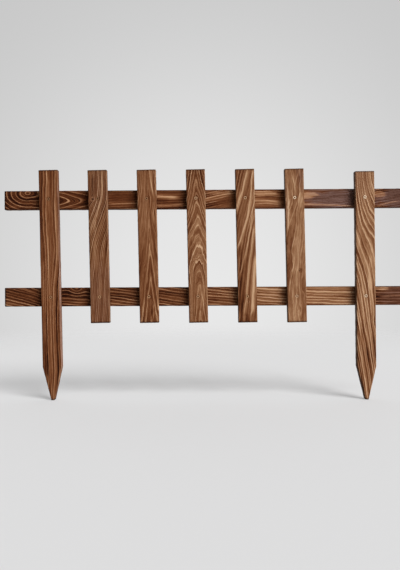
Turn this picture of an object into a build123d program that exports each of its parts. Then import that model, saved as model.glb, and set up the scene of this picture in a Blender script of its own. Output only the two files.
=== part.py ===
from build123d import *
import math
import os

# Low garden border fence: two pointed stakes and five slats screwed to the front of two level rails.
# Millimetres. X runs along the rails, Y to the back and Z up. The origin is the middle of the left
# stake's blunt foot.

# Every timber is cut from one planed section
board_width = 42.0
board_thickness = 18.0
arris_radius = 1.6

# Centre distances of the uprights, measured along the lower rail from the left stake
slat_count = 5
slat_pitch = 107.5
end_bay_pitch = 150.0

# Rails, which reach past the outer stakes by the same length at both ends
rail_lower_height = 225.3
rail_upper_height = 440.0
rail_overhang = 106.2

# Each crossing has a single screw, so the uprights have racked about their screws, tops to the left
upright_lean = 1.0
stake_right_lean = 0.35

# Stakes, sawn to a two-sided point that ends in a blunt foot
stake_left_length = 504.0
stake_right_length = 496.6
point_length = 73.0
foot_width = 7.0

# Slats, which hang clear of the soil
slat_length = 335.0
slat_bottom_height = 168.2

# Countersunk wood screws, driven from the front, with shanks at the thread's mean diameter
screw_length = 30.0
screw_shank_diameter = 3.5
screw_head_diameter = 7.0
screw_head_angle = 90.0
head_depth_below_face = 0.2

# Room round a screw in its holes, and beyond its end
screw_clearance = 0.05
pilot_end_room = 1.0

# Radius that the head's cone gains for each millimetre towards the face
head_slope = math.tan(math.radians(screw_head_angle / 2))

# The face that the rails and the uprights share, and the face that the screws enter
joint_plane_y = board_thickness / 2
front_face_y = -board_thickness / 2

# Uprights from left to right, each with its lean and its place along the lower rail
upright_names = ["stake_left"] + [f"slat_{i + 1}" for i in range(slat_count)] + ["stake_right"]
leans = {name: upright_lean for name in upright_names}
leans["stake_right"] = stake_right_lean
left_stake_x = -rail_lower_height * math.tan(math.radians(upright_lean))
places = {name: left_stake_x + slat_pitch * i for i, name in enumerate(upright_names)}
places["stake_right"] = left_stake_x + slat_pitch * slat_count + end_bay_pitch

rail_heights = {"upper": rail_upper_height, "lower": rail_lower_height}
rail_left_x = places["stake_left"] - rail_overhang
rail_right_x = places["stake_right"] + rail_overhang
rail_length = rail_right_x - rail_left_x


def upright_x(name, height):
    """X of an upright's centre line at a height."""
    return places[name] - (height - rail_lower_height) * math.tan(math.radians(leans[name]))


def upright_plane(name, height):
    """Plane in an upright's mid thickness, with its own Y up the leaning centre line."""
    lean = math.radians(leans[name])
    return Plane(
        origin=(upright_x(name, height), 0, height),
        x_dir=(math.cos(lean), 0, math.sin(lean)),
        z_dir=(0, -1, 0),
    )


def face_plane(x, y, height):
    """Plane on a timber's front face, looking out of it."""
    return Plane(origin=(x, y, height), x_dir=(1, 0, 0), z_dir=(0, -1, 0))


def screw_planes(name, face_y):
    """Front-face planes where an upright's screws cross the two rails."""
    return [face_plane(upright_x(name, height), face_y, height) for height in rail_heights.values()]


def finish(part, name):
    """Label a piece and write it as its own file."""
    part.label = name
    export_step(part, f"parts/{name}.step")


def screw_holes(name):
    """Countersunk clearance holes through an upright, cut in the piece being built."""
    mouth_radius = screw_head_diameter / 2 + head_depth_below_face * head_slope + screw_clearance
    with Locations(*screw_planes(name, front_face_y)):
        CounterSinkHole(
            radius=screw_shank_diameter / 2 + screw_clearance,
            counter_sink_radius=mouth_radius,
            counter_sink_angle=screw_head_angle,
        )


def ease_arrises(timber):
    """Round the four long arrises of the timber being built; its sawn ends stay square."""
    ends = timber.faces().sort_by(Axis.Z)[0].edges() + timber.faces().sort_by(Axis.Z)[-1].edges()
    long_edges = timber.edges().filter_by(Axis.Y, reverse=True) - ends
    fillet(long_edges, radius=arris_radius)


def make_stake(name, length):
    """Stake with a wedge point, its blunt foot cut level at ground zero."""
    flank_slope = (board_width - foot_width) / 2 / point_length
    trim = foot_width / 4
    tip_half_width = foot_width / 2 - trim * flank_slope
    with BuildPart() as stake:
        with BuildSketch(upright_plane(name, 0)):
            with BuildLine():
                Polyline(
                    (-tip_half_width, -trim),
                    (tip_half_width, -trim),
                    (board_width / 2, point_length),
                    (board_width / 2, length),
                    (-board_width / 2, length),
                    (-board_width / 2, point_length),
                    close=True,
                )
            make_face()
        extrude(amount=board_thickness / 2, both=True)
        ease_arrises(stake)
        split(bisect_by=Plane.XY, keep=Keep.TOP)
        screw_holes(name)
    finish(stake.part, name)


def make_slat(name):
    """Plain slat with eased arrises."""
    with BuildPart() as slat:
        with BuildSketch(upright_plane(name, slat_bottom_height)):
            Rectangle(board_width, slat_length, align=(Align.CENTER, Align.MIN))
        extrude(amount=board_thickness / 2, both=True)
        ease_arrises(slat)
        screw_holes(name)
    finish(slat.part, name)


def make_rail(level):
    """Level rail behind the uprights, with a blind pilot bore for each screw."""
    height = rail_heights[level]
    pilot_depth = screw_length + head_depth_below_face - board_thickness + pilot_end_room
    with BuildPart() as rail:
        with BuildSketch(face_plane((rail_left_x + rail_right_x) / 2, joint_plane_y, height)):
            Rectangle(rail_length, board_width)
        extrude(amount=-board_thickness)
        fillet(rail.edges().filter_by(Axis.X), radius=arris_radius)
        with Locations(*[face_plane(upright_x(n, height), joint_plane_y, height) for n in upright_names]):
            Hole(radius=screw_shank_diameter / 2 + screw_clearance, depth=pilot_depth)
    finish(rail.part, f"rail_{level}")


def make_screw(name, level):
    """Countersunk screw, its flat head just under the upright's face."""
    height = rail_heights[level]
    head_centre = (upright_x(name, height), front_face_y + head_depth_below_face, height)
    head_radius = screw_head_diameter / 2
    shank_radius = screw_shank_diameter / 2
    with BuildPart() as screw:
        with BuildSketch(Plane(origin=head_centre, x_dir=(1, 0, 0), z_dir=(0, 0, 1))):
            with BuildLine():
                Polyline(
                    (0, 0),
                    (head_radius, 0),
                    (shank_radius, (head_radius - shank_radius) / head_slope),
                    (shank_radius, screw_length),
                    (0, screw_length),
                    close=True,
                )
            make_face()
        revolve(axis=Axis(head_centre, (0, 1, 0)))
    finish(screw.part, f"screw_{name}_{level}")


os.makedirs("parts", exist_ok=True)

make_stake("stake_left", stake_left_length)
make_stake("stake_right", stake_right_length)
for slat_name in upright_names[1:-1]:
    make_slat(slat_name)
for rail_level in rail_heights:
    make_rail(rail_level)
    for upright_name in upright_names:
        make_screw(upright_name, rail_level)
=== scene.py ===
import math
from types import SimpleNamespace

import bpy
import numpy as np
from mathutils import Matrix, Vector


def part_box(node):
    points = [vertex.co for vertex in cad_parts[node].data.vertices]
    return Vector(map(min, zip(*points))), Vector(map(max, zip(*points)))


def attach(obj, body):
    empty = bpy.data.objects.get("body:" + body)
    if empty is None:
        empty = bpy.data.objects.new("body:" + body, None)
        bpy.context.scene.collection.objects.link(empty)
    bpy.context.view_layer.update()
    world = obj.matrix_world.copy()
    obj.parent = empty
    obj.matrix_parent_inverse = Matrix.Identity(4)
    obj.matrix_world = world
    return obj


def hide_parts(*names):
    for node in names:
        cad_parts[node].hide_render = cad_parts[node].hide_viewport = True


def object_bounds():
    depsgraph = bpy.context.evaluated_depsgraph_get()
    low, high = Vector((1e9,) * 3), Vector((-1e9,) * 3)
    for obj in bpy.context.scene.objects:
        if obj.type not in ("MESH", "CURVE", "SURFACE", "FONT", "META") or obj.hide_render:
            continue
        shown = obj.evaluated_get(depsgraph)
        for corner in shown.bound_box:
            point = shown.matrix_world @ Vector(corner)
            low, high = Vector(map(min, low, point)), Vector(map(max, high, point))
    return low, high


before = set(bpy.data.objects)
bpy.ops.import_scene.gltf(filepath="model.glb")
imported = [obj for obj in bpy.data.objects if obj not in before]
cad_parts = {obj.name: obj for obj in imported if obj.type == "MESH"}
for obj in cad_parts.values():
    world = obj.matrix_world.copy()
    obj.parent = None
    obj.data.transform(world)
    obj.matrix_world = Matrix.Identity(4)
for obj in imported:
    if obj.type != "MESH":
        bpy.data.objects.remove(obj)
cad_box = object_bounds()

MM = 0.001
SEED = 4108

UPRIGHTS = ["stake_left", "slat_1", "slat_2", "slat_3", "slat_4", "slat_5", "stake_right"]
RAILS = ["rail_upper", "rail_lower"]
LEVELS = ["upper", "lower"]

# Mesh pitch of the timbers in millimetres, across and along the grain, and finer near the screws
PITCH_ACROSS, PITCH_ALONG = 0.9, 1.9
PITCH_SCREW = 0.55
SCREW_REACH = 6.0

# Rings of faces on a sawn end, and the gap in millimetres between the parts of a timber's flat map
CAP_RINGS = 9
MAP_GAP = 4.0

# Form of the timbers' finish, in millimetres: rounded arrises and ends, brushed relief and worn edges
ARRIS = 1.7
END_ARRIS = 0.9
RELIEF_DEPTH = 0.28
WEAR_DEPTH = 0.35
WEAR_REACH = 1.5

# Dark share of the burnt arrises, and painted shade on the left sides, at the burnt sawn ends, on the rails
# beside the uprights and round the screws; and the painted highlight added to the right edges' lightness
ARRIS_CHAR = 0.65
LEFT_SIDE_PAINTED_SHADE = 0.8
END_CHAR_AND_SHADE = 0.95
JOINT_PAINTED_SHADE = 0.75
SEAT_PAINTED_SHADE = 0.75
RIGHT_EDGE_PAINTED_LIGHT = 0.5

# Seat of a screw head in the wood, and a pit, in millimetres
SEAT_DEPTH = 1.1
SEAT_RADIUS = 3.3
SEAT_LIP = 0.8
PIT_DEPTH = 0.6

# How far the painted shade beside the uprights, the dark sawn ends (burnt, with painted shade) and the
# painted highlight on the right edges reach, in millimetres
JOINT_SHADE_REACH = 2.6
END_REACH = (1.4, 4.8)
RIGHT_EDGE_LIGHT_REACH = 1.6

# How deep the front's marks, its single lines and its patches go, in millimetres
FRONT_LAYER = 2.0
STROKE_DEPTH = 4
PATCH_DEPTH = 6


def ramp(x, low, high):
    """0 below low, 1 above high and smooth between."""
    t = np.clip((x - low) / (high - low), 0, 1)
    return t * t * (3 - 2 * t)


def bell(x, centre, reach):
    """1 at a centre, falling away smoothly on both sides."""
    return np.exp(-((x - centre) / reach) ** 2)


NOISE_CELLS = 24


def smooth_noise(x, y, z, seed, octaves=2):
    """Smooth noise from -1 to 1 at points given in cells, the same on every run."""
    total = np.zeros_like(x)
    weight, scale, norm = 1.0, 1.0, 0.0
    size = NOISE_CELLS
    for octave in range(octaves):
        grid = np.random.default_rng(seed + 101 * octave).uniform(-1, 1, (size, size, size))
        cells, parts = [], []
        for axis in (x, y, z):
            at = axis * scale + 0.37 * octave
            low = np.floor(at).astype(int)
            cells.append((low % size, (low + 1) % size))
            parts.append(ramp(at - low, 0, 1))
        for i, j, k in np.ndindex(2, 2, 2):
            share = parts[0] if i else 1 - parts[0]
            share = share * (parts[1] if j else 1 - parts[1])
            share = share * (parts[2] if k else 1 - parts[2])
            total += weight * share * grid[cells[0][i], cells[1][j], cells[2][k]]
        norm += weight
        weight *= 0.5
        scale *= 2.03
    return total / norm


# Timbers, each in its own millimetres: s along it, u across its face and v to the back

def node_points(name):
    """Vertices of a CAD node, in millimetres."""
    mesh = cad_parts[name].data
    points = np.empty(len(mesh.vertices) * 3)
    mesh.vertices.foreach_get("co", points)
    return points.reshape(-1, 3) / MM


def middle(name):
    """Middle of a CAD node's box, in millimetres."""
    low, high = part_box(name)
    return (low + high) / 2 / MM


def joints_of(rail, start_x, half_width):
    """Where the uprights, as wide as the rail, cross it: the s of each one's middle, and half its width."""
    level = rail.removeprefix("rail_")
    return [(middle(f"screw_{name}_{level}").x - start_x, half_width) for name in UPRIGHTS]


def read_timber(name):
    """Axes, sizes and screw places of a timber, from its CAD node and the screws through it."""
    if name in RAILS:
        along, across = Vector((1, 0, 0)), Vector((0, 0, -1))
        origin = middle(name)
        screws = []
    else:
        screws = [middle(f"screw_{name}_{level}") for level in LEVELS]
        along = screws[0] - screws[1]
        along.y = 0
        along.normalize()
        across = Vector((along.z, 0, -along.x))
        origin = screws[1].copy()
    origin.y = middle(name).y
    points = node_points(name) - np.array(origin)
    s = points @ np.array(along)
    u = points @ np.array(across)
    wide = s[np.abs(u) > u.max() - 0.01]
    foot = u[s < s.min() + 0.3]
    origin += along * s.min()
    return SimpleNamespace(
        name=name, origin=origin, along=along, across=across,
        length=float(np.ptp(s)), half_width=float(u.max()), half_depth=float(points[:, 1].max()),
        point_length=float(wide.min() - s.min()), half_foot=float(np.ptp(foot)) / 2,
        pointed=name.startswith("stake"),
        screws=[(float((p - origin).dot(along)), float((p - origin).dot(across))) for p in screws],
        joints=joints_of(name, origin.x, float(u.max())) if name in RAILS else [],
    )


# Grain. The growth rings are a field of ring numbers over a timber's s, u and v. A line of the grain
# is where the field is constant.

CURVE_STEPS = 600
CURVE_MARGIN = 20
LONGEST_TIMBER = 1000


def curve(s, stops):
    """The value at s of a line through (s, value) stops, with its corners smoothed."""
    at, value = zip(*sorted(stops))
    fine = np.linspace(at[0] - CURVE_MARGIN, at[-1] + CURVE_MARGIN, CURVE_STEPS)
    window = np.hanning(2 * CURVE_MARGIN + 1)
    level = np.interp(fine, at, value)
    padded = np.concatenate([np.full(CURVE_MARGIN, level[0]), level, np.full(CURVE_MARGIN, level[-1])])
    return np.interp(s, fine, np.convolve(padded, window / window.sum(), "valid"))


def drift(s, slopes):
    """How far lines with the given (s, slope) have moved across the board, from its foot."""
    at, slope = zip(*sorted(slopes))
    fine = np.linspace(0, LONGEST_TIMBER, LONGEST_TIMBER + 1)
    return np.interp(s, fine, np.cumsum(np.interp(fine, at, slope)))


def nested_arches(s, u, v, middle_u, tips, steepness, roundness):
    """Cathedral grain: arches that point up the board, with the tip of arch number n at the s of tips[n]."""
    aside = np.hypot(u - middle_u, 0.5 * (v + 9))
    fall = steepness * (np.hypot(aside, roundness) - roundness)
    at = np.array(sorted(tips))
    reach = s + fall
    number = np.interp(reach, at, np.arange(len(at)))
    step = (at[-1] - at[0]) / (len(at) - 1)
    number += np.minimum(reach - at[0], 0) / step
    return number + np.maximum(reach - at[-1], 0) / step


def grain_stake_left(s, u, v, waver):
    """Straight stripes that sway to the right higher up."""
    lean = 1.5 * np.sin(s / 36) + drift(s, [(0, 0.07), (90, 0.03), (200, 0.0), (400, -0.01)])
    sway = 10 * (ramp(s, 235, 350) - 0.5) * ramp(u, -16, 8)
    return (u - lean - sway + 0.5 * v) / 5.4 + 0.25 * waver(75, 14) + 0.11 * waver(18, 6)


def grain_slat_1(s, u, v, waver):
    """Fine slanting lines that bend round a pin knot beside the upper screw."""
    slopes = [(0, 0.06), (150, 0.12), (185, 0.33), (255, 0.40), (282, 0.08), (335, -0.05)]
    rings = (u - drift(s, slopes) + 0.5 * v) / 3.6
    rings -= 1.8 * bell(np.hypot((s - 271) / 1.6, u + 10.5), 0, 5.0)
    return rings + 0.42 * waver(55, 12) + 0.2 * waver(18, 5)


def grain_slat_2(s, u, v, waver):
    """Slender arches in the lower half, almost plain above."""
    tips = [-120, -82, -45, -3, 41, 84, 148, 218, 300, 430, 600]
    steepness = curve(s, [(0, 7.5), (120, 8.0), (180, 13), (335, 24)])
    rings = nested_arches(s, u, v, 4.5, tips, steepness, 1.6)
    return rings + 0.22 * waver(60, 10) + 0.24 * waver(20, 5)


def grain_slat_3(s, u, v, waver):
    """Arches over the whole board, rounded and crowded at the middle."""
    tips = [-150, -60, 20, 75, 112, 126, 138, 151, 166, 189, 212, 231, 262, 281, 305, 331, 360]
    steepness = curve(s, [(0, 9.0), (70, 7.0), (115, 3.4), (150, 2.6), (190, 3.0), (240, 4.4), (335, 5.5)])
    roundness = curve(s, [(0, 3.0), (110, 6.0), (160, 9.0), (200, 6.0), (260, 2.5), (335, 2.0)])
    rings = nested_arches(s, u, v, 1.5 + 0.012 * (250 - s), tips, steepness, roundness)
    return rings + 0.26 * waver(38, 10) + (0.24 + 0.4 * bell(s, 140, 24)) * waver(12, 4.5)


def grain_slat_4(s, u, v, waver):
    """Broad slanting bands."""
    slopes = [(0, 0.14), (60, 0.10), (130, 0.15), (200, 0.24), (260, 0.28), (335, 0.22)]
    return (u - drift(s, slopes) + 0.5 * v) / 6.2 + 0.30 * waver(80, 16) + 0.1 * waver(26, 6)


def grain_slat_5(s, u, v, waver):
    """Faint wandering bands."""
    slopes = [(0, 0.02), (130, 0.04), (190, 0.18), (280, 0.16), (335, 0.05)]
    rings = (u - drift(s, slopes) + 0.5 * v) / 7.0
    return rings + 0.8 * waver(50, 14) + 0.35 * waver(16, 6)


def grain_stake_right(s, u, v, waver):
    """Lines that sweep down to the right, round a small knot at the right edge."""
    pulls = [(0, 0), (100, 3), (200, 10), (290, 20), (350, 26), (395, 21), (435, 12), (478, 2), (500, 0)]
    slopes = [(0, -0.13), (130, -0.17), (220, -0.13), (310, -0.19), (380, -0.12), (440, -0.05), (500, -0.02)]
    aside = np.clip((u + 20) / 40, 0, 1.1) ** 1.15
    rings = (u - curve(s, pulls) * aside - drift(s, slopes) + 0.5 * v) / 4.0
    rings += 0.9 * bell(np.hypot((s - 168) / 2.2, u - 18), 0, 6.5)
    return rings + 0.24 * waver(70, 14) + 0.16 * waver(22, 6)


def grain_rail_upper(s, u, v, waver):
    """A knot near the left end, then arches that point right, then straight lines."""
    knot = np.hypot((s - 52) / 10.4, (u + 15.6) / 6.8) - 0.05 * np.maximum(s - 60, 0)
    arrows = nested_arches(s, u, v, 1.0, [60, 84, 112, 143, 176, 215], 5.2, 9.0)
    slopes = [(0, 0.0), (400, 0.05), (470, 0.22), (520, 0.1), (600, -0.03), (900, 0.2)]
    straight = (u + drift(s, slopes)) / 5.4
    to_arrows = ramp(s, 88, 118)
    to_straight = ramp(s, 185, 225)
    rings = knot * (1 - to_arrows) + (arrows + 1.5) * to_arrows
    rings = rings * (1 - to_straight) + (straight + 9) * to_straight
    return rings + 0.05 * v + 0.16 * waver(60, 12) + 0.10 * waver(20, 6)


def grain_rail_lower(s, u, v, waver):
    """Slanting lines that straighten to the right, with one set of arcs at the upper edge."""
    slopes = [(0, 0.20), (45, 0.28), (80, 0.40), (120, 0.05), (230, 0.12), (300, 0.14), (345, 0.16)]
    slopes += [(400, 0.15), (450, 0.08), (560, 0.10), (650, 0.04), (800, 0.02)]
    rings = (u - drift(s, slopes)) / 6.4
    arcs = np.hypot(s - 160, 1.2 * (u + 22)) / 7.0
    share = bell(np.hypot(s - 160, u + 22), 0, 27)
    return rings * (1 - share) + (arcs - 9) * share + 0.05 * v + 0.2 * waver(60, 10) + 0.18 * waver(17, 5)


def stroke(route, width, strength):
    """A single strong line of the grain, light or dark, through (s, u) places."""
    return SimpleNamespace(route=route, width=width, strength=strength)


def patch(s, u, along, across, strength):
    """A lighter, darker or greyer stretch with its middle at s and u."""
    return SimpleNamespace(s=s, u=u, along=along, across=across, strength=strength)


def look_of(rings, level, contrast, **settings):
    """A timber's rings, mean lightness and contrast, and what else sets it apart: redness, line width, band
    contrast, mottling, lightness along it as (s, change), strokes, patches, plains with fewer lines, greys,
    and pits as (s, u, radius)."""
    look = SimpleNamespace(
        rings=rings, level=level, contrast=contrast, red=0.0, line=1.0, bands=1.0, mottle=0.06,
        along=((0, 0),), strokes=(), patches=(), plains=(), greys=(), pits=(),
    )
    look.__dict__.update(settings)
    return look


# Each timber's look as drawn: places and reaches in its own millimetres
LOOKS = {
    "stake_left": look_of(
        grain_stake_left, 0.375, 1.15, red=1.0, along=[(0, -0.04), (120, -0.02), (200, 0.0), (500, 0.01)],
        strokes=[
            stroke([(500, -2), (440, -2), (380, -3), (240, -3), (60, -2)], 3.2, 0.25),
            stroke([(430, 14), (370, 14)], 4.0, 0.2),
            stroke([(440, 3), (290, 3)], 3.0, 0.16),
            stroke([(235, 9), (60, 9)], 3.0, 0.14),
            stroke([(260, 15), (60, 15)], 3.0, -0.16),
            stroke([(305, -15), (130, -15)], 2.8, 0.28),
            stroke([(200, -8), (154, -7), (66, -6), (10, -1)], 1.5, 0.25),
            stroke([(190, -12), (121, -11), (55, -10)], 2.6, -0.2),
        ],
        patches=[patch(160, -9, 120, 4, -0.2), patch(75, -10, 30, 5, -0.4)],
        greys=[patch(250, 21, 300, 3, 0.3)],
    ),
    "slat_1": look_of(
        grain_slat_1, 0.39, 0.95, line=0.8,
        strokes=[
            stroke([(330, 8), (300, 11), (280, 9), (255, 2), (205, -10)], 1.5, 0.32),
            stroke([(262, -10), (240, -6), (232, -9)], 1.0, 0.2),
            stroke([(300, 17), (60, 17)], 4.0, -0.12),
        ],
        patches=[patch(190, -10, 50, 8, 0.3), patch(140, -5, 40, 7, 0.2), patch(77, 3, 26, 5, 0.25),
                 patch(305, -6, 30, 8, -0.2)],
        plains=[patch(70, 0, 110, 30, 0.35)],
        greys=[patch(60, 0, 100, 30, 0.12), patch(280, 0, 70, 30, 0.05)],
        pits=[(271, -10.5, 1.6)],
    ),
    "slat_2": look_of(
        grain_slat_2, 0.40, 0.9, red=0.5, line=0.9, along=[(0, -0.01), (140, 0.0), (220, 0.02), (335, 0.05)],
        strokes=[
            stroke([(345, 5), (320, 8), (300, 11), (275, 15)], 2.2, 0.48),
            stroke([(297, 3), (280, 6), (264, 9), (240, 4), (223, 4)], 1.1, 0.2),
            stroke([(325, 15), (265, 14), (230, 16)], 1.4, -0.3),
            stroke([(262, 14), (240, 12), (215, 14)], 2.6, 0.34),
            stroke([(62, 2), (30, 3), (0, 3)], 2.6, 0.14),
            stroke([(45, 8), (25, 10), (8, 9)], 1.3, 0.45),
            stroke([(95, -2), (85, -4)], 2.2, 0.3),
        ],
        patches=[patch(240, -8, 110, 12, 0.1), patch(230, 0, 60, 7, 0.25), patch(178, 8, 50, 6, 0.22),
                 patch(75, -6, 40, 7, -0.15), patch(115, 15, 25, 4, 0.25), patch(12, 12, 18, 8, 0.3)],
        plains=[patch(210, -9, 160, 10, 0.45), patch(270, 6, 60, 10, 0.2), patch(90, 0, 90, 26, 0.25)],
    ),
    "slat_3": look_of(
        grain_slat_3, 0.465, 0.85, red=0.25, line=0.8,
        along=[(0, 0.03), (100, 0.03), (200, 0.08), (260, 0.0), (335, -0.08)],
        strokes=[
            stroke([(100, 10), (75, 12), (45, 6), (15, 2)], 4.0, 0.22),
            stroke([(80, 16), (55, 12), (10, 8)], 1.6, 0.25),
            stroke([(130, -14), (70, -16), (20, -17)], 1.3, 0.15),
        ],
        patches=[patch(235, 0, 36, 14, 0.32), patch(182, 0, 12, 13, 0.28), patch(15, 2, 22, 15, -0.25)],
        plains=[patch(143, 0, 24, 26, -0.4), patch(60, 0, 60, 30, 0.3), patch(320, 0, 40, 30, -0.4)],
    ),
    "slat_4": look_of(
        grain_slat_4, 0.44, 0.5, red=0.3, along=[(0, -0.02), (200, 0.02), (335, -0.02)],
        strokes=[
            stroke([(335, 6), (289, -6), (258, -17), (240, -22)], 4.6, 0.62),
            stroke([(335, 16), (289, 13), (234, 4), (180, -13), (160, -21)], 3.0, 0.6),
            stroke([(290, 20), (256, 17), (197, 8), (160, 0), (120, -11), (98, -19)], 2.2, 0.45),
            stroke([(208, 16), (169, 11), (120, 4), (81, 0), (57, -3), (21, -9), (2, -10)], 2.6, 0.52),
            stroke([(150, 18), (100, 14), (50, 13), (28, 11), (12, 3)], 3.0, 0.3),
            stroke([(140, 18), (100, 13), (60, 9), (25, 9)], 5.5, 0.48),
            stroke([(168, -16), (140, -13), (80, -16), (20, -16)], 7.0, -0.27),
            stroke([(70, -2), (30, -8), (2, -12)], 3.0, -0.16),
            stroke([(320, 17), (240, 17)], 3.5, -0.12),
        ],
        patches=[patch(330, -15, 40, 9, -0.2), patch(8, -6, 18, 14, -0.35)],
        pits=[(45, 1.5, 0.9)],
    ),
    "slat_5": look_of(
        grain_slat_5, 0.565, 0.46, red=0.15, mottle=0.18,
        along=[(0, 0.02), (190, 0.06), (260, 0.0), (335, -0.06)],
        strokes=[
            stroke([(335, -9), (318, -5), (300, 0), (270, 0)], 1.8, 0.3),
            stroke([(330, 11), (308, 3), (295, 0)], 1.5, 0.28),
            stroke([(285, 13), (254, 2), (224, -9), (204, -17)], 1.3, 0.32),
            stroke([(300, -17), (280, -14), (262, -13)], 1.5, 0.5),
            stroke([(268, -15), (235, -15), (205, -17)], 3.2, 0.5),
            stroke([(150, -4), (130, -5), (106, -10), (76, -17)], 1.3, 0.38),
            stroke([(75, -10), (40, -8), (0, -8)], 3.0, 0.22),
            stroke([(126, 9), (110, 8)], 1.6, -0.4),
            stroke([(190, 4), (120, 2), (60, -2), (0, -4)], 6.0, 0.16),
        ],
        patches=[patch(264, 13, 24, 6, 0.45), patch(130, -14, 110, 8, -0.25), patch(60, 16, 90, 7, -0.18),
                 patch(290, 2, 42, 10, 0.1), patch(20, 7, 18, 7, -0.3), patch(113, 9, 6, 5, -0.5)],
        greys=[patch(320, 12, 45, 10, 0.3), patch(270, -18, 60, 5, 0.25)],
        pits=[(112, 6.8, 0.9)],
    ),
    "stake_right": look_of(
        grain_stake_right, 0.615, 1.45, red=0.35,
        along=[(0, -0.12), (90, -0.12), (190, 0.0), (300, 0.06), (500, 0.02)],
        strokes=[
            stroke([(230, -12), (165, -5), (121, 4), (77, 10), (49, 16)], 1.6, 0.5),
            stroke([(190, -19), (132, -14), (100, -10), (70, -8)], 1.6, 0.42),
            stroke([(200, 4), (110, 12), (80, 17)], 1.6, 0.4),
            stroke([(72, -8), (40, -4), (8, 0)], 2.4, 0.3),
            stroke([(150, -9), (110, -2), (70, 3)], 3.6, -0.3),
            stroke([(110, 1), (75, 8), (50, 10)], 2.6, -0.22),
        ],
        patches=[
            patch(330, 9, 42, 8, 0.24), patch(225, 8, 50, 7, 0.3), patch(275, 12, 40, 9, 0.42),
            patch(185, 18, 40, 4, -0.2), patch(40, -8, 40, 5, -0.25), patch(150, -9, 32, 4, -0.3),
            patch(108, 14, 36, 7, -0.35), patch(370, -15, 50, 6, 0.25), patch(430, 4, 60, 14, 0.15),
        ],
        plains=[patch(490, 0, 70, 30, 0.45), patch(330, 0, 90, 30, 0.25), patch(100, 0, 130, 30, 0.3)],
        greys=[patch(475, -4, 60, 22, 0.2)],
        pits=[(169, 18, 1.1)],
    ),
    "rail_upper": look_of(
        grain_rail_upper, 0.235, 1.15, red=1.0, line=0.8, bands=0.4,
        along=[(0, -0.02), (110, 0.04), (240, 0.0), (350, 0.02), (440, 0.06), (550, 0.24), (640, 0.14),
               (700, 0.11), (820, 0.06), (900, 0.0)],
        strokes=[
            stroke([(225, 7), (260, 7), (300, 8)], 3.4, 0.34),
            stroke([(320, -8), (350, -8), (385, -5)], 5.0, 0.75),
            stroke([(325, 13), (360, 13), (400, 11)], 1.8, 0.55),
            stroke([(440, 1), (470, -8), (505, -16)], 5.0, 0.5),
            stroke([(455, 5), (480, -3), (500, -10)], 1.5, 0.3),
            stroke([(545, -6), (575, -6), (600, -5)], 1.4, -0.3),
            stroke([(545, 2), (580, 3), (612, 7)], 3.4, 0.42),
            stroke([(545, 13), (580, 9), (615, 13)], 1.6, 0.4),
            stroke([(655, 12), (700, 13), (745, 15), (775, 18)], 2.2, 0.55),
            stroke([(140, 16), (178, 14)], 2.0, 0.3),
            stroke([(822, 18), (838, 13), (852, 9), (872, 7)], 1.8, 0.5),
        ],
        patches=[
            patch(575, -12, 32, 7, 0.8), patch(464, -14, 24, 5, 0.55), patch(668, -7, 28, 9, 1.0),
            patch(25, 14, 20, 5, 0.3), patch(60, -14, 16, 6, -0.3),
            patch(826, -9, 22, 9, 0.75), patch(700, 0, 40, 30, -0.05), patch(270, -6, 40, 9, -0.1),
            patch(500, 8, 30, 9, -0.14),
        ],
        plains=[
            patch(270, -6, 50, 12, 0.9), patch(270, 8, 60, 12, 0.5), patch(365, 0, 50, 30, 0.5),
            patch(505, 4, 50, 22, 0.8), patch(590, 0, 45, 30, 0.4),
            patch(720, 0, 95, 30, 0.85), patch(870, 0, 60, 30, 0.8),
        ],
        greys=[patch(745, 5, 104, 34, 1.0), patch(868, 0, 58, 34, 1.0)],
    ),
    "rail_lower": look_of(
        grain_rail_lower, 0.295, 1.25, red=0.5,
        along=[(0, -0.05), (200, -0.04), (300, 0.0), (420, 0.06), (470, 0.16), (560, 0.32), (780, 0.31),
               (820, -0.06)],
        strokes=[
            stroke([(825, -14), (845, -15)], 3.0, 0.5),
            stroke([(830, 2), (860, -1), (895, -1)], 2.0, 0.3),
            stroke([(130, 15), (160, 16), (185, 14)], 2.4, 0.2),
        ],
        patches=[
            patch(270, 12, 60, 7, 0.16), patch(830, -16, 20, 5, 0.6), patch(136, -9, 16, 11, -0.45),
            patch(158, 14, 34, 5, 0.3), patch(588, -5, 28, 5, 0.35), patch(690, 0, 40, 4, 0.3),
        ],
        plains=[patch(40, 0, 60, 30, 0.3), patch(862, 5, 52, 30, 0.6)],
        greys=[patch(862, 5, 50, 30, 0.35)],
    ),
}


# The light line of each growth ring, in parts of a ring: the dark part before it and the reach of its sharp
# and its soft side. Its height varies from ring to ring within LINE_HEIGHT.
LINE_AT, LINE_SHARP, LINE_SOFT = 0.3, 0.1, 0.55
LINE_HEIGHT = (0.20, 0.62)


def ring_line(rings, width):
    """The light line in each ring, from 0 to 1, as the wood's material has it."""
    part = (rings + LINE_AT) % 1
    soft = 1 - ramp(part, LINE_AT, LINE_AT + LINE_SOFT * width)
    return ramp(part, LINE_AT - LINE_SHARP * width, LINE_AT) * soft ** 2


def stroke_lightness(mark, s, u, v, half_depth, wander):
    """Lightness that one strong line adds: sharp on one side, soft on the other and only near the face."""
    ends = sorted(at for at, _ in mark.route)
    away = u - curve(s, mark.route) - wander
    across = np.where(away < 0, np.exp(away / (0.35 * mark.width)), np.exp(-((away / mark.width) ** 2)))
    taper = ramp(s, ends[0] - 10, ends[0] + 12) * (1 - ramp(s, ends[-1] - 12, ends[-1] + 10))
    return mark.strength * across * taper * np.exp(-(v + half_depth) / STROKE_DEPTH)


# Skins

def spread(length, pitch, close_to=()):
    """Stations from 0 to a length at a pitch, closer together near the screws."""
    x = np.linspace(0, length, int(length / 0.1) + 1)
    density = np.full_like(x, 1 / pitch)
    for centre in close_to:
        density[np.abs(x - centre) < SCREW_REACH] = 1 / PITCH_SCREW
    total = np.concatenate([[0], np.cumsum((density[1:] + density[:-1]) / 2 * np.diff(x))])
    return np.interp(np.linspace(0, total[-1], int(round(total[-1])) + 1), total, x)


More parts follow.
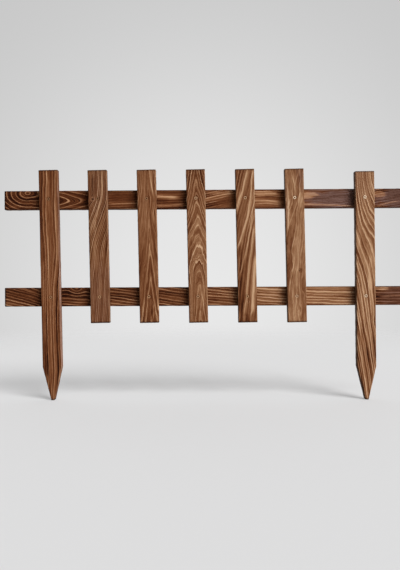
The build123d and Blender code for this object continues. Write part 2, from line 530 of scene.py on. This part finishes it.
def skin_rows(t):
    """Rows from the middle of the foot to the middle of the top: place, inset and share of the section."""
    body = END_ARRIS + spread(t.length - 2 * END_ARRIS, PITCH_ALONG, [s - END_ARRIS for s, _ in t.screws])
    turn = np.linspace(0, math.pi / 2, 4)[:-1]
    cap = np.linspace(0, 1, CAP_RINGS + 1)[1:-1]
    bend_s, bend_inset = END_ARRIS * (1 - np.cos(turn)), END_ARRIS * (1 - np.sin(turn))
    place = np.concatenate([0 * cap, bend_s, body, t.length - bend_s[::-1], t.length + 0 * cap])
    cap_inset = 0 * cap + END_ARRIS
    inset = np.concatenate([cap_inset, bend_inset, 0 * body, bend_inset[::-1], cap_inset])
    share = np.concatenate([cap, 0 * turn + 1, 0 * body + 1, 0 * turn + 1, cap[::-1]])
    return place, inset, share


def skin_columns(t):
    """Columns round the section, from the face's left arris: places on the flats, and corner angles."""
    flat_u = t.half_width - ARRIS
    flat_v = t.half_depth - ARRIS
    face = spread(2 * flat_u, PITCH_ACROSS, [flat_u] if t.screws else []) / flat_u - 1
    side = spread(2 * flat_v, PITCH_ACROSS) / flat_v - 1
    bend = np.linspace(0, math.pi / 2, 5)[1:-1]
    one = np.ones(len(bend))
    u = np.concatenate([face, one, 0 * side + 1, one, -face, -one, 0 * side - 1, -one])
    v = np.concatenate([0 * face - 1, -one, side, one, 0 * face + 1, one, -side, -one])
    turns = [0 * face, bend, 0 * side + math.pi / 2, bend + math.pi / 2]
    turns += [0 * face + math.pi, bend + math.pi, 0 * side + 1.5 * math.pi, bend + 1.5 * math.pi]
    return u, v, np.concatenate(turns)


def plain_skin(t):
    """Places s, u, v over the skin's grid of rows and columns, with normals and the local half width."""
    place, inset, share = skin_rows(t)
    col_u, col_v, angle = skin_columns(t)
    half = np.full(len(place), t.half_width)
    if t.pointed:
        half = np.minimum(half, t.half_foot + (t.half_width - t.half_foot) / t.point_length * place)
    arris = np.minimum(ARRIS, half * 0.45)
    corner = np.maximum(arris - inset, 0)
    flat_in = arris + np.maximum(inset - arris, 0)
    s = np.repeat(place[:, None], len(col_u), 1)
    u = share[:, None] * ((half - flat_in)[:, None] * col_u + corner[:, None] * np.sin(angle))
    v = share[:, None] * ((t.half_depth - flat_in)[:, None] * col_v - corner[:, None] * np.cos(angle))
    points = np.stack([s, u, v], -1)
    around = np.roll(points, -1, 1) - np.roll(points, 1, 1)
    normal = np.cross(around, np.gradient(points, axis=0))
    normal /= np.maximum(np.linalg.norm(normal, axis=-1, keepdims=True), 1e-9)
    return points, normal, half[:, None]


def figure(t, s, u, v, waver, seed):
    """Rings of a timber's grain at points s, u and v, with their lightness, contrast and greyness."""
    look = LOOKS[t.name]
    ragged = 0.35 * smooth_noise(s / 22, u / 3.0, v / 5, seed + 3)

    def inside(spot, edge):
        """How strong a patch is at each point, with a ragged edge."""
        away = np.hypot((s - spot.s) / spot.along, (u - spot.u) / spot.across)
        return spot.strength * ramp(1 + ragged - away, 0, edge)

    contrast = np.full_like(s, look.contrast)
    for spot in look.plains:
        contrast *= 1 - inside(spot, 0.5)
    light = look.level + np.interp(s, *zip(*look.along))
    light += 0.08 * waver(90, 16) + look.mottle * waver(15, 8)
    wander = 1.2 * waver(28, 9)
    for mark in look.strokes:
        light += stroke_lightness(mark, s, u, v, t.half_depth, wander)
    for spot in look.patches:
        light += 0.45 * inside(spot, 0.35) * np.exp(-(v + t.half_depth) / PATCH_DEPTH)
    grey = np.zeros_like(s)
    for spot in look.greys:
        grey += inside(spot, 0.5) * (1 - 0.85 * ramp(light, 0.3, 0.6))
    return look.rings(s, u, v, waver), light, contrast, grey


def add_front_marks(t, s, u, v, sunk, char_and_shade, light):
    """Change the sunk depth, darkness and lightness of the front: painted shade beside the joints, sunk
    seats with painted shade round the screws, and pits.
    """
    front = v < -t.half_depth + FRONT_LAYER
    # Painted shade on the rail beside each upright, deeper on the left, where the upright's shadow falls
    for at_s, reach in t.joints:
        beside = np.maximum(np.abs(s - at_s) - reach, 0)
        joint_shade = np.where(s < at_s, JOINT_PAINTED_SHADE, 0.3 * JOINT_PAINTED_SHADE)
        np.maximum(char_and_shade, joint_shade * np.exp(-beside / JOINT_SHADE_REACH) * front, out=char_and_shade)
    elsewhere = 50 * ~front
    # Sunk seat round each screw head, darkened with painted shade
    for at_s, at_u in t.screws:
        away = np.hypot(s - at_s, u - at_u) + elsewhere
        sunk += SEAT_DEPTH * (1 - ramp(away, SEAT_RADIUS, SEAT_RADIUS + SEAT_LIP))
        np.maximum(char_and_shade, SEAT_PAINTED_SHADE * (1 - ramp(away, SEAT_RADIUS + 0.2, SEAT_RADIUS + 1.6)), out=char_and_shade)
    for at_s, at_u, radius in LOOKS[t.name].pits:
        away = np.hypot(s - at_s, u - at_u) + elsewhere
        sunk += PIT_DEPTH * (1 - ramp(away, 0.5 * radius, 1.3 * radius))
        np.maximum(char_and_shade, 1 - ramp(away, 0.8 * radius, 1.7 * radius), out=char_and_shade)
        light += 0.2 * bell(away, 2.6 * radius, 0.7 * radius)


def wood_skin(t):
    """The skin with its brushed relief, and the values that its colours need at each point."""
    look = LOOKS[t.name]
    seed = SEED + 1000 * sorted(LOOKS).index(t.name)
    points, normal, half = plain_skin(t)
    s, u, v = points[..., 0], points[..., 1], points[..., 2]

    def waver(along, across):
        """Smooth noise with its cells' length and width in millimetres."""
        return smooth_noise(s / along + 7.3, u / across + 3.1, v / across + 9.7, seed + int(along))

    rings, light, contrast, grey = figure(t, s, u, v, waver, seed)

    # How near each point is to an arris or to a sawn end
    from_side = half - np.abs(u)
    from_face = t.half_depth - np.abs(v)
    at_arris = np.exp(-np.maximum(np.maximum(from_side, from_face), 0) / WEAR_REACH)
    # Dark sawn ends: burnt end grain, with painted shade
    at_end = 1 - ramp(np.minimum(s, t.length - s + 0.8), *END_REACH)
    # Painted shade on the left sides, which face away from the key light
    shaded_left = ramp(-normal[..., 1], 0.5, 0.95)
    wear = 0.6 + 0.4 * waver(25, 9)
    # Painted highlight along the right front arris of the uprights, which faces the key light
    right_highlight = np.exp(-np.maximum(half - u, 0) / RIGHT_EDGE_LIGHT_REACH) * ramp(-v, -2, 3) * (t.name in UPRIGHTS)
    light += RIGHT_EDGE_PAINTED_LIGHT * right_highlight * wear
    shown = light - look.level + 0.5 * contrast * ring_line(rings, look.line)
    sunk = RELIEF_DEPTH * (1 - ramp(shown, -0.15, 0.5)) + WEAR_DEPTH * at_arris * wear
    # Dark share: burnt arrises, and painted shade on the left sides, at the ends, beside the joints and
    # round the screws
    char_and_shade = ARRIS_CHAR * at_arris * (1 - right_highlight) + LEFT_SIDE_PAINTED_SHADE * shaded_left + END_CHAR_AND_SHADE * at_end
    add_front_marks(t, s, u, v, sunk, char_and_shade, light)
    values = {
        "grain_light": light, "grain_rings": rings, "grain_contrast": contrast,
        "grain_grey": np.clip(grey, 0, 1), "grain_char_and_shade": np.clip(char_and_shade, 0, 1),
    }
    return points, points - normal * sunk[..., None], values


def flat_map(points, t):
    """Places of every face corner on a square map: the skin in strips, with the two ends beside them."""
    rows, cols = points.shape[:2]
    share_rows = CAP_RINGS - 1
    core = points[share_rows: rows - share_rows]
    run = np.concatenate([[0], np.cumsum(np.linalg.norm(np.diff(core.mean(1), axis=0), axis=-1) + 0.05)])
    ring = core[len(core) // 2]
    lap = np.concatenate([[0], np.cumsum(np.linalg.norm(np.roll(ring, -1, 0) - ring, axis=-1))])
    best = None
    for strips in range(1, 8):
        part = run[-1] / strips
        wide = part + 2 * PITCH_ALONG + 2 * MAP_GAP + 2 * t.half_width
        high = max(strips * (lap[-1] + MAP_GAP), 4 * t.half_depth + 2 * MAP_GAP)
        if best is None or max(wide, high) < best[0]:
            best = (max(wide, high), part, strips)
    scale, part, strips = best
    band = np.minimum(((run[1:] + run[:-1]) / 2 / part).astype(int), strips - 1)
    corner = np.zeros((rows - 1, cols, 4, 2))
    body = corner[share_rows: rows - 1 - share_rows]
    low, high = run[:-1] - band * part + PITCH_ALONG, run[1:] - band * part + PITCH_ALONG
    body[..., 0] = np.stack([low, low, high, high], -1)[:, None, :]
    body[..., 1] = np.stack([lap[:-1], lap[1:], lap[1:], lap[:-1]], -1)
    body[..., 1] += (band * (lap[-1] + MAP_GAP))[:, None, None]
    left = part + 2 * PITCH_ALONG + MAP_GAP + t.half_width
    after = np.roll(points, -1, 1)
    quads = np.stack([points[:-1], after[:-1], after[1:], points[1:]], 2)[..., 1:]
    foot_rows, top_rows = slice(0, share_rows), slice(rows - 1 - share_rows, rows - 1)
    ends = [(foot_rows, t.half_depth), (top_rows, 3 * t.half_depth + MAP_GAP)]
    tips = []
    for rows_there, up in ends:
        corner[rows_there] = quads[rows_there] + (left, up)
    for row, up in ((0, ends[0][1]), (rows - 1, ends[1][1])):
        here, there = points[row, :, 1:] + (left, up), after[row, :, 1:] + (left, up)
        hub = np.tile((left, up), (cols, 1))
        tips.append(np.stack([hub, there, here] if row == 0 else [hub, here, there], 1))
    flat = np.concatenate([corner.reshape(-1, 2)] + [tip.reshape(-1, 2) for tip in tips])
    return flat / scale


def build_timber(name):
    """One timber's visible skin, in the place of its CAD node."""
    t = read_timber(name)
    plain, skin, values = wood_skin(t)
    rows, cols = skin.shape[:2]
    grid = np.arange(rows * cols).reshape(rows, cols)
    after = np.roll(grid, -1, 1)
    quads = np.stack([grid[:-1], after[:-1], after[1:], grid[1:]], -1).reshape(-1, 4)
    foot = np.stack([np.full(cols, rows * cols), after[0], grid[0]], -1)
    top = np.stack([np.full(cols, rows * cols + 1), grid[-1], after[-1]], -1)

    def with_hubs(array):
        """An array over the grid as a list, with the middles of its two ends after it."""
        return np.concatenate([array.reshape(rows * cols, -1), array[:1].mean(1), array[-1:].mean(1)])

    axes = np.stack([np.array(t.along), np.array(t.across), np.array((0.0, 1.0, 0.0))])
    places = with_hubs(skin) @ axes + np.array(t.origin)
    if t.pointed:
        places[:, 2] = np.maximum(places[:, 2], 0)
    mesh = bpy.data.meshes.new(name)
    mesh.from_pydata((places * MM).tolist(), [], quads.tolist() + foot.tolist() + top.tolist())
    for key, value in values.items():
        layer = mesh.attributes.new(key, "FLOAT", "POINT")
        layer.data.foreach_set("value", with_hubs(value[..., None]).astype(np.float32).ravel())
    layer = mesh.attributes.new("grain_place", "FLOAT_VECTOR", "POINT")
    layer.data.foreach_set("vector", (with_hubs(plain) * MM).astype(np.float32).ravel())
    layer = mesh.uv_layers.new(name="OFBake")
    layer.data.foreach_set("uv", flat_map(plain, t).astype(np.float32).ravel())
    mesh.polygons.foreach_set("use_smooth", [True] * len(mesh.polygons))
    mesh.materials.append(wood_material(name))
    add_piece(mesh, name)


def add_piece(mesh, node):
    """Put a mesh in the scene in place of a CAD node."""
    piece = bpy.data.objects.new(f"look_{node}", mesh)
    bpy.context.scene.collection.objects.link(piece)
    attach(piece, "root")
    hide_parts(node)


# Materials

# Colours of the wood from its darkest to its lightest lines, as (lightness, colour)
WOOD_SHADES = [
    (0.00, (0.018, 0.0040, 0.0014)),
    (0.15, (0.082, 0.0215, 0.0060)),
    (0.35, (0.172, 0.0605, 0.0225)),
    (0.55, (0.280, 0.1270, 0.0585)),
    (0.80, (0.440, 0.2420, 0.1280)),
    (1.00, (0.640, 0.4050, 0.2450)),
]
GREY_STAIN = (1.04, 1.62, 3.5, 1)
# Colour of burnt wood, also used for painted shade
CHAR_AND_SHADE_COLOUR = (0.012, 0.0045, 0.002, 1)
RED_GREEN_LOSS, RED_BLUE_LOSS = 0.08, 0.14

# Fine texture of the wood: its cells a ring or a metre, and what it adds to the lightness
STREAK_CELLS, STREAK_LIGHT = (6.0, 14.0, 0.0), 0.36
FIBRE_CELLS, FIBRE_LIGHT = (55.0, 1500.0, 1500.0), 0.24
PORE_CELLS, PORE_LIGHT = (160.0, 1100.0, 1100.0), 0.1
BUMP_STRENGTH, BUMP_DEPTH = 0.45, 0.0004

# Spots of tarnish on the screws, in cells a metre
SPOT_CELLS = (1400.0, 1400.0, 1400.0)

# Colours of the screws from clean to fully tarnished or deep in painted shade
STEEL_SHADES = [
    (0.0, (0.97, 0.730, 0.520)),
    (0.4, (0.50, 0.265, 0.130)),
    (0.7, (0.22, 0.085, 0.032)),
    (1.0, (0.05, 0.016, 0.005)),
]


def node_tree(name):
    """A new material and its empty node tree."""
    material = bpy.data.materials.new(name)
    material.use_nodes = True
    material.node_tree.nodes.clear()
    return material, material.node_tree


def add(tree, kind, **sets):
    """A node with its settings, where a key such as in_Scale sets the input called Scale."""
    node = tree.nodes.new(kind)
    for key, value in sets.items():
        if key.startswith("in_"):
            node.inputs[key[3:].replace("_", " ")].default_value = value
        else:
            setattr(node, key, value)
    return node


def join(tree, operation, a, b, clamp=False):
    """A math node on two sockets or numbers."""
    node = add(tree, "ShaderNodeMath", operation=operation, use_clamp=clamp)
    for socket, value in zip(node.inputs, (a, b)):
        if isinstance(value, (int, float)):
            socket.default_value = value
        else:
            tree.links.new(value, socket)
    return node.outputs[0]


def attribute(tree, name, output="Fac"):
    """A value that the mesh holds at its points."""
    return add(tree, "ShaderNodeAttribute", attribute_name=name).outputs[output]


def show(tree, shader, kind="Material"):
    """Send a shader to the output of its tree."""
    output = add(tree, f"ShaderNodeOutput{kind}")
    tree.links.new(shader.outputs[0], output.inputs["Surface"])


def stretched_noise(tree, vector, scale, detail, roughness):
    """Noise with its own scale along each axis."""
    stretch = add(tree, "ShaderNodeVectorMath", operation="MULTIPLY")
    stretch.inputs[1].default_value = scale
    tree.links.new(vector, stretch.inputs[0])
    noise = add(tree, "ShaderNodeTexNoise", in_Scale=1.0, in_Detail=detail, in_Roughness=roughness)
    tree.links.new(stretch.outputs[0], noise.inputs["Vector"])
    return noise.outputs["Fac"]


def map_range(tree, value, source, target, kind="LINEAR"):
    """A value carried from one range to another, and held within it."""
    node = add(tree, "ShaderNodeMapRange", clamp=True, interpolation_type=kind)
    for socket, number in zip(node.inputs[1:5], (*source, *target)):
        socket.default_value = number
    tree.links.new(value, node.inputs["Value"])
    return node.outputs["Result"]


def mix_colour(tree, blend, factor, a, b):
    """Two colours, each a socket or a tuple, blended by a factor."""
    node = add(tree, "ShaderNodeMix", data_type="RGBA", blend_type=blend, clamp_factor=True)
    for socket, value in ((node.inputs["Factor"], factor), (node.inputs["A"], a), (node.inputs["B"], b)):
        if isinstance(value, tuple):
            socket.default_value = value
        else:
            tree.links.new(value, socket)
    return node.outputs["Result"]


def colour_ramp(tree, value, shades):
    """The colour at a value, from (value, colour) shades."""
    node = add(tree, "ShaderNodeValToRGB")
    stops = node.color_ramp.elements
    while len(stops) < len(shades):
        stops.new(0.5)
    for stop, (at, colour) in zip(stops, shades):
        stop.position = at
        stop.color = (*colour, 1)
    tree.links.new(value, node.inputs["Fac"])
    return node.outputs["Color"]


def grain_lines(tree, rings, look, seed):
    """Lightness of the growth rings about a mean of 0: each ring's line, faint lines and broad bands."""
    shifted = join(tree, "ADD", rings, seed + LINE_AT)
    part = join(tree, "FRACT", shifted, 0.0)
    sharp = map_range(tree, part, (LINE_AT - LINE_SHARP * look.line, LINE_AT), (0, 1), "SMOOTHSTEP")
    soft = map_range(tree, part, (LINE_AT, LINE_AT + LINE_SOFT * look.line), (1, 0), "SMOOTHSTEP")
    line = join(tree, "MULTIPLY", sharp, join(tree, "POWER", soft, 2.0))
    chance = add(tree, "ShaderNodeTexWhiteNoise", noise_dimensions="1D")
    tree.links.new(join(tree, "ADD", join(tree, "FLOOR", shifted, 0.0), 0.5), chance.inputs["W"])
    line = join(tree, "MULTIPLY", line, map_range(tree, chance.outputs["Value"], (0, 1), LINE_HEIGHT))
    faint, broad = [add(tree, "ShaderNodeTexNoise", noise_dimensions="1D", in_Scale=scale, in_Detail=detail)
                    for scale, detail in ((4.2, 2.0), (0.8, 0.0))]
    for noise in (faint, broad):
        tree.links.new(shifted, noise.inputs["W"])
    line = join(tree, "ADD", line, map_range(tree, faint.outputs["Fac"], (0.52, 0.75), (0, 0.26)))
    swing = 0.17 * look.bands
    line = join(tree, "ADD", line, map_range(tree, broad.outputs["Fac"], (0.2, 0.8), (-swing, swing)))
    return join(tree, "SUBTRACT", line, 0.11 * look.line + 0.04)


def wood_material(name):
    """Charred, brushed and stained softwood with painted shade and light: lines from the mesh's rings,
    fibres and pores from noise.
    """
    look = LOOKS[name]
    material, tree = node_tree(f"wood_{name}")
    link = tree.links.new
    place = attribute(tree, "grain_place", "Vector")
    rings = attribute(tree, "grain_rings")
    apart = add(tree, "ShaderNodeSeparateXYZ")
    link(place, apart.inputs[0])
    follow = add(tree, "ShaderNodeCombineXYZ")
    link(rings, follow.inputs["X"])
    link(apart.outputs["X"], follow.inputs["Y"])
    streak = stretched_noise(tree, follow.outputs[0], STREAK_CELLS, 3.0, 0.6)
    fibre = stretched_noise(tree, place, FIBRE_CELLS, 4.0, 0.65)
    pore = map_range(tree, stretched_noise(tree, place, PORE_CELLS, 2.0, 0.5), (0.34, 0.44), (1.0, 0.0))

    lines = grain_lines(tree, rings, look, 40 * sorted(LOOKS).index(name))
    level = join(tree, "MULTIPLY", lines, attribute(tree, "grain_contrast"))
    level = join(tree, "ADD", level, attribute(tree, "grain_light"))
    for noise, reach in ((streak, STREAK_LIGHT), (fibre, FIBRE_LIGHT)):
        level = join(tree, "ADD", level, map_range(tree, noise, (0, 1), (-reach, reach)))
    level = join(tree, "SUBTRACT", level, join(tree, "MULTIPLY", pore, PORE_LIGHT))

    green, blue = 1 - RED_GREEN_LOSS * look.red, 1 - RED_BLUE_LOSS * look.red
    colour = colour_ramp(tree, level, [(at, (r, g * green, b * blue)) for at, (r, g, b) in WOOD_SHADES])
    colour = mix_colour(tree, "MULTIPLY", attribute(tree, "grain_grey"), colour, GREY_STAIN)
    # Burnt wood and painted shade, from the mesh's values
    char_and_shade = join(tree, "MULTIPLY", attribute(tree, "grain_char_and_shade"), 0.8)
    colour = mix_colour(tree, "MIX", char_and_shade, colour, CHAR_AND_SHADE_COLOUR)

    height = join(tree, "MULTIPLY", join(tree, "ADD", join(tree, "ADD", fibre, streak), lines), 0.5)
    height = join(tree, "SUBTRACT", height, join(tree, "MULTIPLY", pore, 0.4))
    bump = add(tree, "ShaderNodeBump", in_Strength=BUMP_STRENGTH, in_Distance=BUMP_DEPTH)
    link(height, bump.inputs["Height"])

    shader = add(tree, "ShaderNodeBsdfPrincipled", in_Specular_IOR_Level=0.06)
    link(colour, shader.inputs["Base Color"])
    link(map_range(tree, level, (0.0, 0.9), (0.68, 0.5)), shader.inputs["Roughness"])
    link(bump.outputs["Normal"], shader.inputs["Normal"])
    show(tree, shader)
    return material


def steel_material():
    """Dull yellow-passivated steel, tarnished by stain, with painted shade in the recess and at the head's
    rim.
    """
    material, tree = node_tree("screw_steel")
    link = tree.links.new
    place = add(tree, "ShaderNodeTexCoord").outputs["Object"]
    spots = stretched_noise(tree, place, SPOT_CELLS, 3.0, 0.6)
    uneven = map_range(tree, spots, (0.3, 0.7), (-0.1, 0.12))
    tarnish_and_shade = join(tree, "ADD", attribute(tree, "tarnish_and_shade"), uneven, clamp=True)
    shader = add(tree, "ShaderNodeBsdfPrincipled", in_Metallic=0.2, in_Specular_IOR_Level=0.2)
    link(colour_ramp(tree, tarnish_and_shade, STEEL_SHADES), shader.inputs["Base Color"])
    link(map_range(tree, spots, (0.3, 0.7), (0.38, 0.6)), shader.inputs["Roughness"])
    show(tree, shader)
    return material


# Screws, in millimetres

RECESS_DEPTH = 1.5
RECESS_ARM = 1.9
RECESS_HALF_WIDTH = 0.42
THREAD_PITCH = 2.2
THREAD_DEPTH = 0.35

# Where the thread starts and where the point does, in parts of the screw's length
THREAD_START, POINT_START = 0.4, 0.82

# Rings of faces on the flat of the head, and steps round it
HEAD_RINGS = 16
SCREW_STEPS = 48

# How tarnished the upper and the lower screw head of each upright is
TARNISH = {
    "stake_left": (0.6, 0.5), "slat_1": (0.6, 0.4), "slat_2": (0.55, 0.42), "slat_3": (0.35, 0.4),
    "slat_4": (0.35, 0.42), "slat_5": (0.1, 0.3), "stake_right": (0.0, 0.1),
}


def recess(x, z):
    """Depth of the cross recess at a place on the head."""
    along = np.maximum(np.abs(x), np.abs(z)) / RECESS_ARM
    aside = np.minimum(np.abs(x), np.abs(z)) / RECESS_HALF_WIDTH
    return RECESS_DEPTH * (1 - 0.45 * along) * (1 - ramp(along, 0.85, 1.0)) * (1 - ramp(aside, 0.7, 1.3))


def build_screw(upright, level, material):
    """Countersunk wood screw with a rolled head edge, a cross recess, a thread and a point."""
    node = f"screw_{upright}_{level}"
    low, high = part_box(node)
    head = (high.x - low.x) / 2 / MM
    length = (high.y - low.y) / MM
    shank = head / 2
    rim = [(head - 0.12, 0.03), (head - 0.02, 0.1), (head, 0.22)]
    cone = head - shank
    start = THREAD_START * length
    neck = [(head - 0.5, 0.7), (shank + 0.3, cone - 0.2), (shank, cone + 0.4), (shank, start)]
    thread = [(shank, at) for at in np.arange(start + 0.5, POINT_START * length, THREAD_PITCH / 4)]
    tip = [(shank * part, length * (1 - (1 - POINT_START) * part)) for part in (0.8, 0.55, 0.3, 0.08)]
    flat = [(radius, 0.0) for radius in np.linspace(0.12, head - 0.35, HEAD_RINGS)]
    profile = np.array(flat + rim + neck + thread + tip)
    turn = np.linspace(0, 2 * math.pi, SCREW_STEPS, endpoint=False)
    radius = np.repeat(profile[:, :1], SCREW_STEPS, 1)
    depth = np.repeat(profile[:, 1:], SCREW_STEPS, 1)
    first = len(flat + rim + neck)
    last = first + len(thread)
    wave = np.cos(2 * math.pi * depth[first:last] / THREAD_PITCH - turn)
    radius[first:last] += THREAD_DEPTH * (wave - 1) / 2
    x, z = radius * np.cos(turn), radius * np.sin(turn)
    sunk = recess(x, z) * (np.arange(len(profile)) < HEAD_RINGS)[:, None]
    tarnish = TARNISH[upright][LEVELS.index(level)]
    # Painted shade over the recess, deeper where it is deeper, and at the head's rim, added to the tarnish
    head_shade = 1.0 - ramp(radius, 1.0, 1.9) + 0.3 * ramp(radius, head - 0.4, head)
    tarnish_and_shade = np.clip(tarnish + 0.45 * sunk + head_shade, 0, 1)
    grid = np.arange(len(profile) * SCREW_STEPS).reshape(-1, SCREW_STEPS)
    after = np.roll(grid, -1, 1)
    faces = np.stack([grid[:-1], grid[1:], after[1:], after[:-1]], -1).reshape(-1, 4).tolist()
    faces += [(grid.size, int(a), int(b)) for a, b in zip(grid[0], after[0])]
    faces += [(grid.size + 1, int(b), int(a)) for a, b in zip(grid[-1], after[-1])]
    places = np.stack([x, depth + sunk, z], -1).reshape(-1, 3)
    places = np.vstack([places, (0, RECESS_DEPTH, 0), (0, length, 0)])
    number = UPRIGHTS.index(upright) * 2 + LEVELS.index(level)
    spin = np.random.default_rng(SEED + number).uniform(0, math.pi / 2)
    rotate = np.array([[math.cos(spin), 0, math.sin(spin)], [0, 1, 0], [-math.sin(spin), 0, math.cos(spin)]])
    centre = (low + high) / 2
    places = places @ rotate * MM + (centre.x, low.y, centre.z)
    mesh = bpy.data.meshes.new(node)
    mesh.from_pydata(places.tolist(), [], faces)
    layer = mesh.attributes.new("tarnish_and_shade", "FLOAT", "POINT")
    layer.data.foreach_set("value", np.append(tarnish_and_shade.ravel(), [1.0, tarnish]).astype(np.float32))
    mesh.polygons.foreach_set("use_smooth", [True] * len(mesh.polygons))
    mesh.materials.append(material)
    add_piece(mesh, node)


# Studio

# Floor: its colour, what the camera sees added to it, and its size and fade in metres
FLOOR_COLOUR = (0.45, 0.45, 0.453, 1)
FLOOR_GLOW = 0.24
FLOOR_HALF_SIZE = 30.0
FLOOR_FADE = (0.9, 2.8)

# Backdrop as the camera sees it: at its sides and at its brightest, and where the bright part starts
BACKDROP_GLOW = (0.58, 0.805)
GLOW_EDGE = 0.86

# Strength of the soft light all round, from above, from the right and from behind
SKY_LOW, SKY_HIGH, SKY_RIGHT, SKY_BACK = 0.01, 0.25, 0.35, 1.0

# Key light: its angles and spread in degrees, and its power
KEY_AZIMUTH, KEY_ELEVATION, KEY_SPREAD = 38, 41, 32
KEY_POWER = 3.23


def seen_rays(tree):
    """1 for the rays that show the backdrop, straight or in metal, and 0 for the rays that light things."""
    path = add(tree, "ShaderNodeLightPath")
    shown = join(tree, "ADD", path.outputs["Is Camera Ray"], path.outputs["Is Glossy Ray"])
    return join(tree, "ADD", shown, path.outputs["Is Transmission Ray"], clamp=True)


def build_floor():
    """A large pale floor, a little brighter to the camera, that fades to the backdrop far from the fence."""
    mesh = bpy.data.meshes.new("floor")
    edge = FLOOR_HALF_SIZE
    corners = [(-edge, -edge, 0), (edge, -edge, 0), (edge, edge, 0), (-edge, edge, 0)]
    mesh.from_pydata(corners, [], [(0, 1, 2, 3)])
    floor = bpy.data.objects.new("floor", mesh)
    bpy.context.scene.collection.objects.link(floor)
    material, tree = node_tree("studio_floor")
    link = tree.links.new
    diffuse = add(tree, "ShaderNodeBsdfDiffuse", in_Color=FLOOR_COLOUR)
    clear = add(tree, "ShaderNodeBsdfTransparent")
    away = add(tree, "ShaderNodeVectorMath", operation="DISTANCE")
    centre = (cad_box[0] + cad_box[1]) / 2
    away.inputs[1].default_value = (centre.x, centre.y, 0)
    link(add(tree, "ShaderNodeNewGeometry").outputs["Position"], away.inputs[0])
    fade = map_range(tree, away.outputs["Value"], FLOOR_FADE, (0, 1), "SMOOTHSTEP")
    glow = add(tree, "ShaderNodeEmission", in_Color=(1.0, 1.0, 1.0, 1))
    link(join(tree, "MULTIPLY", seen_rays(tree), FLOOR_GLOW), glow.inputs["Strength"])
    lit = add(tree, "ShaderNodeAddShader")
    link(diffuse.outputs[0], lit.inputs[0])
    link(glow.outputs[0], lit.inputs[1])
    mix = add(tree, "ShaderNodeMixShader")
    link(fade, mix.inputs["Fac"])
    link(lit.outputs[0], mix.inputs[1])
    link(clear.outputs[0], mix.inputs[2])
    show(tree, mix)
    mesh.materials.append(material)


def build_world():
    """Soft light from above, the right and behind, and a backdrop that is brightest behind the fence and,
    for views of its back, before it."""
    world = bpy.data.worlds.new("studio")
    bpy.context.scene.world = world
    world.use_nodes = True
    tree = world.node_tree
    tree.nodes.clear()
    link = tree.links.new
    apart = add(tree, "ShaderNodeSeparateXYZ")
    link(add(tree, "ShaderNodeTexCoord").outputs["Generated"], apart.inputs[0])
    above = join(tree, "POWER", join(tree, "MAXIMUM", apart.outputs["Z"], 0.0), 2.0)
    above = join(tree, "MULTIPLY", above, SKY_HIGH)
    right = join(tree, "MULTIPLY", join(tree, "MAXIMUM", apart.outputs["X"], 0.0), SKY_RIGHT)
    behind = join(tree, "MULTIPLY", join(tree, "MAXIMUM", apart.outputs["Y"], 0.0), SKY_BACK)
    power = join(tree, "ADD", join(tree, "ADD", above, right), join(tree, "ADD", behind, SKY_LOW))
    light = add(tree, "ShaderNodeBackground", in_Color=(1.0, 1.0, 1.0, 1))
    link(power, light.inputs["Strength"])
    facing = join(tree, "SUBTRACT", join(tree, "ABSOLUTE", apart.outputs["Y"], 0.0), GLOW_EDGE)
    glow = join(tree, "POWER", join(tree, "MULTIPLY", facing, 1 / (1 - GLOW_EDGE), clamp=True), 2.0)
    low, high = BACKDROP_GLOW
    shade = join(tree, "ADD", join(tree, "MULTIPLY", glow, high - low), low)
    seen = add(tree, "ShaderNodeBackground", in_Color=(1.0, 1.0, 1.0, 1))
    link(shade, seen.inputs["Strength"])
    mix = add(tree, "ShaderNodeMixShader")
    link(seen_rays(tree), mix.inputs["Fac"])
    link(light.outputs[0], mix.inputs[1])
    link(seen.outputs[0], mix.inputs[2])
    show(tree, mix, "World")


def build_key():
    """The main light: a sun with a very wide disc, to the right of the front and above."""
    azimuth, elevation = math.radians(KEY_AZIMUTH), math.radians(KEY_ELEVATION)
    flat = math.cos(elevation)
    towards = Vector((math.sin(azimuth) * flat, -math.cos(azimuth) * flat, math.sin(elevation)))
    lamp = bpy.data.lights.new("key", "SUN")
    lamp.angle = math.radians(KEY_SPREAD)
    lamp.energy = KEY_POWER
    key = bpy.data.objects.new("key", lamp)
    key.rotation_euler = towards.to_track_quat("Z", "Y").to_euler()
    bpy.context.scene.collection.objects.link(key)


# Camera of the photo, in metres and degrees: level with the fence's middle and almost square to it
CAMERA_PLACE = Vector((0.3422, -1.4233, 0.2476))
CAMERA_YAW, CAMERA_RISE, CAMERA_ROLL = -0.780, 0.117, -0.271
CAMERA_SENSOR, CAMERA_LENS = 36, 41.0


def build_camera():
    """Camera where the photo was taken from, turned by its three angles."""
    yaw, rise, roll = (math.radians(a) for a in (CAMERA_YAW, CAMERA_RISE, CAMERA_ROLL))
    forward = Vector((math.sin(yaw) * math.cos(rise), math.cos(yaw) * math.cos(rise), math.sin(rise)))
    level_right = Vector((math.cos(yaw), -math.sin(yaw), 0))
    level_up = level_right.cross(forward)
    right = level_right * math.cos(roll) + level_up * math.sin(roll)
    up = level_up * math.cos(roll) - level_right * math.sin(roll)
    data = bpy.data.cameras.new("camera")
    data.sensor_width = CAMERA_SENSOR
    data.lens = CAMERA_LENS
    data.clip_end = 200
    camera = bpy.data.objects.new("camera", data)
    turned = Matrix((right, up, -forward)).transposed().to_4x4()
    camera.matrix_world = Matrix.Translation(CAMERA_PLACE) @ turned
    bpy.context.scene.collection.objects.link(camera)
    bpy.context.scene.camera = camera


for name in UPRIGHTS + RAILS:
    build_timber(name)
steel = steel_material()
for name in UPRIGHTS:
    for level in LEVELS:
        build_screw(name, level, steel)
build_floor()
build_world()
build_key()
build_camera()
bpy.context.scene.view_settings.view_transform = "Standard"
